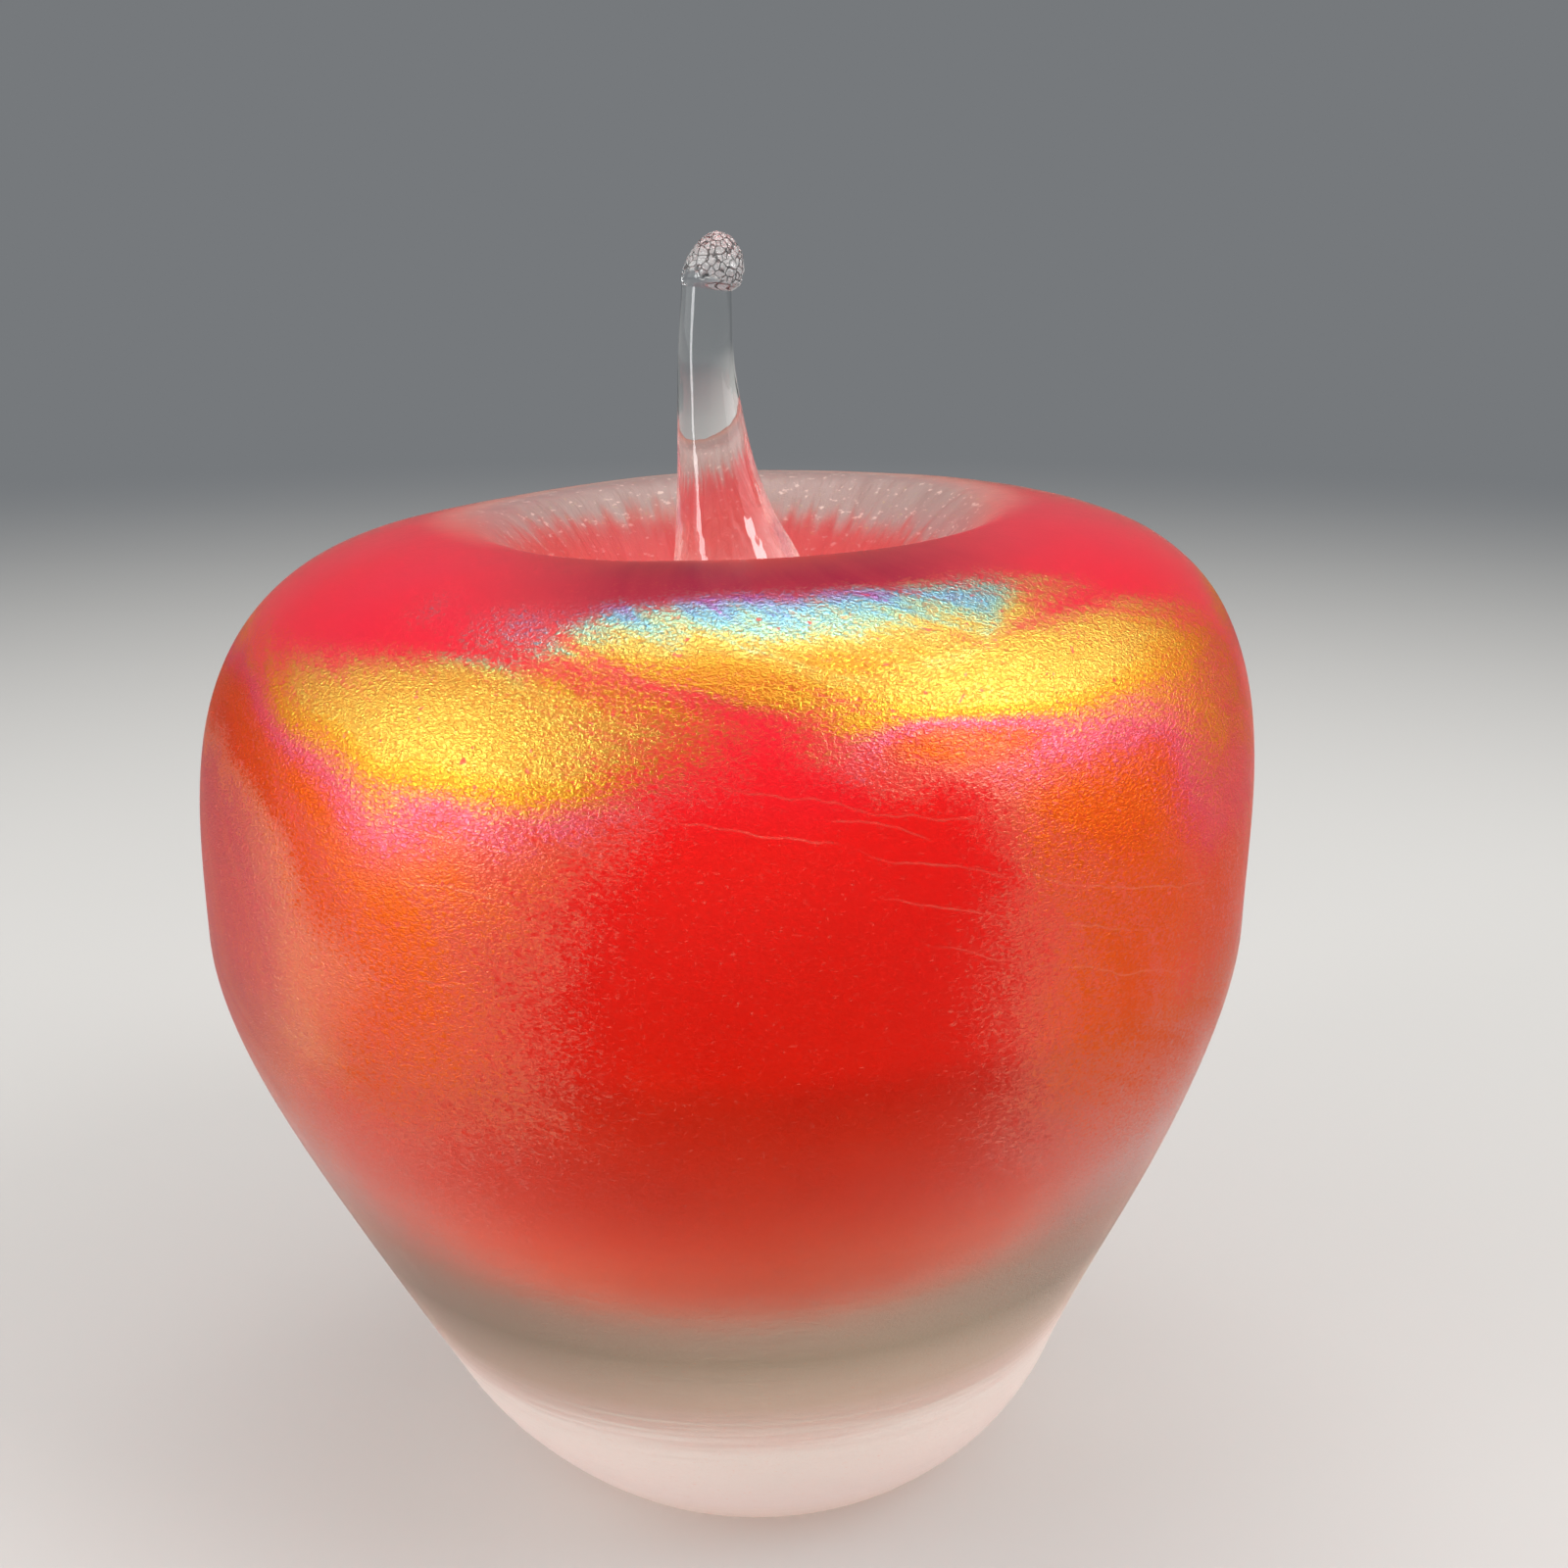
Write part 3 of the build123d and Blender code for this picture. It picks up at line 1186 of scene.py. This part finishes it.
def stem_ring(share):
    """Section of the stem at a share of its length, with its faint ridges."""
    width = drawn(stem_width_shares, stem_height_shares, share)
    shift = drawn(stem_shift_shares, stem_height_shares, share)
    ring = tilted_ring(
        stem_neck_radius + (stem_root_radius - stem_neck_radius) * width,
        stem_root_shift - stem_bow * shift,
        dimple_floor_height + stem_length * share,
        stem_neck_tilt * share ** 2,
        stem_around,
    )
    angle = turns(stem_around)
    ridges = sum((depth * np.sin(count * angle + turn * share) for depth, count, turn in stem_ridges), 1)
    return scaled_ring(ring, ridges[:, None])


def make_stem():
    """Clear rod, drawn up out of a flared root that is fused into the dimple."""
    seat = [dimple_ring(stem_contact_radius * (i + 1) / seat_rows, stem_around) for i in range(seat_rows)]
    rows = [stem_ring(share) for share in np.linspace(stem_first_share, 1, stem_rows)]
    grid = np.array(seat + rows)
    middle_low = (float(lean_at(crest_rise - dimple_depth)), 0, dimple_floor_height + stem_seat_gap)
    points = with_ends(grid, middle_low, grid[-1].mean(axis=0))
    stem = make_piece("stem_rod", points, closed_faces(len(grid), stem_around, 0), make_stem_glass())
    seat_height = seat[-1][:, 2].max() + seat_margin

    def is_joint(middle, normal):
        on_seat = middle.z < seat_height and normal.z < seat_facing
        return on_seat or is_neck_end(middle, normal)

    mark_joint(stem, is_joint)
    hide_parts("stem")


def is_neck_end(middle, normal):
    """True on the flat ends where the stem and its tip meet."""
    on_plane = abs((middle - neck_place).dot(neck_normal)) < neck_margin
    return on_plane and abs(normal.dot(neck_normal)) > neck_facing


def mark_joint(piece, is_joint):
    """Gives the faces that lie on a joint the fused joint's glass, with a sharp edge round them."""
    mesh = piece.data
    mesh.materials.append(joint_glass)
    sides = {}
    for face in mesh.polygons:
        if is_joint(face.center, face.normal):
            face.material_index = 1
        for key in face.edge_keys:
            sides.setdefault(key, set()).add(face.material_index)
    for edge in mesh.edges:
        edge.use_edge_sharp = len(sides[edge.key]) > 1


def tip_ring(share):
    """Section of the tip at a share of its length."""
    width = drawn(tip_width_shares, tip_height_shares, share)
    shift = drawn(tip_shift_shares, tip_height_shares, share)
    return tilted_ring(
        tip_radius * width,
        neck_place.x + tip_overhang * shift,
        neck_place.z + tip_length * share,
        stem_neck_tilt + (tip_tilt - stem_neck_tilt) * share,
        tip_around,
    )


def crackled_grid(grid, rise_share):
    """The tip's places, pushed in and out into flat facets with a crack between each two."""
    facets = random_places.normal(size=(facet_count, 3))
    facets /= np.linalg.norm(facets, axis=1, keepdims=True)
    away = grid - grid.reshape(-1, 3).mean(axis=0)
    away /= np.linalg.norm(away, axis=-1, keepdims=True)
    nearness = np.sort(away @ facets.T, axis=-1)
    crack = np.exp(-((nearness[..., -1] - nearness[..., -2]) / facet_crack_width) ** 2)
    level = np.argmax(away @ facets.T, axis=-1)
    steps = random_places.uniform(-facet_step, facet_step, size=facet_count) * MM
    crackled = smoothstep(*facet_start_shares, rise_share + facet_start_lean * away[..., 0])
    return grid + away * ((steps[level] - crack * facet_crack_depth) * crackled)[..., None]


def make_tip():
    """Pinched end of the stem, chilled and crackled into small facets."""
    shares = np.linspace(0, 1, tip_rows)
    rings = [tip_ring(share) for share in shares]
    foot = [scaled_ring(rings[0], share) for share in tip_foot_shares]
    cap = [scaled_ring(rings[-1], share) for share in tip_cap_shares]
    rise_share = np.concatenate([np.zeros(len(foot)), shares, np.ones(len(cap))])[:, None]
    grid = crackled_grid(np.array(foot + rings + cap), rise_share)
    points = with_ends(grid, tuple(neck_place), grid[-1].mean(axis=0))
    tip = make_piece("crackled_tip", points, closed_faces(len(grid), tip_around, 0), make_crackled_glass())
    mark_joint(tip, is_neck_end)
    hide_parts("stem_tip")


def finish_core():
    """Opal glass on the core's solid."""
    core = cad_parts["opal_core"]
    core.data.materials.clear()
    core.data.materials.append(make_opal_glass())


joint_glass = make_joint_glass()
make_casing()
make_red()
make_stem()
make_tip()
finish_core()


# Stage, light and camera

# The floor turns into the room's colour far from the apple. Distances in mm
floor_side = 6.0
floor_colour = rgb(192, 191, 189)
floor_roughness = 0.85
floor_specular = 0.1
floor_fade = (180.0, 700.0)

# What the camera sees of the room, by how far up it looks, and the light that falls on things
room_colour = rgb(118, 121, 124)
ceiling_colour = rgb(82, 85, 88)
room_stops = ((0.22, room_colour), (0.65, ceiling_colour))
room_light_colour = (1.0, 0.99, 0.97, 1.0)
room_light = 0.72

# Lamps: name, azimuth and elevation in degrees, width and height in metres, and power in watts
lamp_distance = 0.5
lamps = (
    ("left_window", -60, 21, 0.10, 0.30, 0.86),
    ("right_window", 62, 42, 0.11, 0.22, 0.86),
    ("left_softbox", -82, 28, 0.36, 0.40, 0.46),
    ("right_softbox", 82, 32, 0.36, 0.40, 0.64),
    ("front_fill", 0, -1, 0.50, 0.06, 0.26),
    ("top_softbox", 180, 78, 0.34, 0.18, 0.85),
)


def make_floor_finish():
    """Matte and pale, and far away the room's own colour."""
    shader = Shader("pale_floor")
    x, y, z, place = shader.place()
    matte = shader.principled(
        Base_Color=floor_colour,
        Roughness=floor_roughness,
        Specular_IOR_Level=floor_specular,
    )
    sweep = shader.node("Emission", Color=room_colour)
    far = shader.product(shader.step(*floor_fade, shader.from_axis(x, y)), shader.seen_by_eye())
    return shader.finish(shader.mix_surface(far, matte, sweep.outputs[0]))


def make_stage():
    """Wide pale floor under the apple."""
    mesh = bpy.data.meshes.new("floor")
    half = floor_side / 2
    corners = [(-half, -half, 0), (half, -half, 0), (half, half, 0), (-half, half, 0)]
    mesh.from_pydata(corners, [], [(0, 1, 2, 3)])
    floor = add_object("floor", mesh)
    mesh.materials.append(make_floor_finish())


def make_room():
    """Soft even light from all round. What looks past the apple sees a backdrop under a darker ceiling."""
    world = bpy.data.worlds.new("room")
    world.use_nodes = True
    bpy.context.scene.world = world
    nodes = Nodes(world.node_tree, "OutputWorld")
    light = nodes.node("Background", Color=room_light_colour, Strength=room_light)
    heading = nodes.node("SeparateXYZ", nodes.node("TexCoord").outputs["Generated"])
    backdrop = nodes.node("Background", Color=nodes.ramp(heading.outputs[2], room_stops))
    nodes.finish(nodes.mix_surface(nodes.seen_by_eye(), light.outputs[0], backdrop.outputs[0]))


def make_lamp(name, azimuth, elevation, width, height, power):
    """Softbox that faces the apple."""
    light = bpy.data.lights.new(name, "AREA")
    light.shape = "RECTANGLE"
    light.size = width
    light.size_y = height
    light.energy = power
    lamp = add_object(name, light)
    away = way(azimuth, elevation)
    lamp.location = Vector((0, 0, foot_drop)) + away * lamp_distance
    lamp.rotation_mode = "QUATERNION"
    lamp.rotation_quaternion = away.to_track_quat("Z", "Y")


def make_camera():
    """Camera that sees the apple as the photograph does."""
    data = bpy.data.cameras.new("camera")
    data.sensor_fit = "HORIZONTAL"
    data.sensor_width = sensor_side
    data.lens = focal_pixels / image_side * sensor_side
    data.clip_start = eye_near_limit
    camera = add_object("camera", data)
    camera.location = eye_place
    camera.rotation_euler = (math.pi / 2 - eye_pitch, 0, 0)
    bpy.context.scene.camera = camera


make_stage()
make_room()
for lamp in lamps:
    make_lamp(*lamp)
make_camera()
bpy.context.scene.view_settings.view_transform = "Standard"
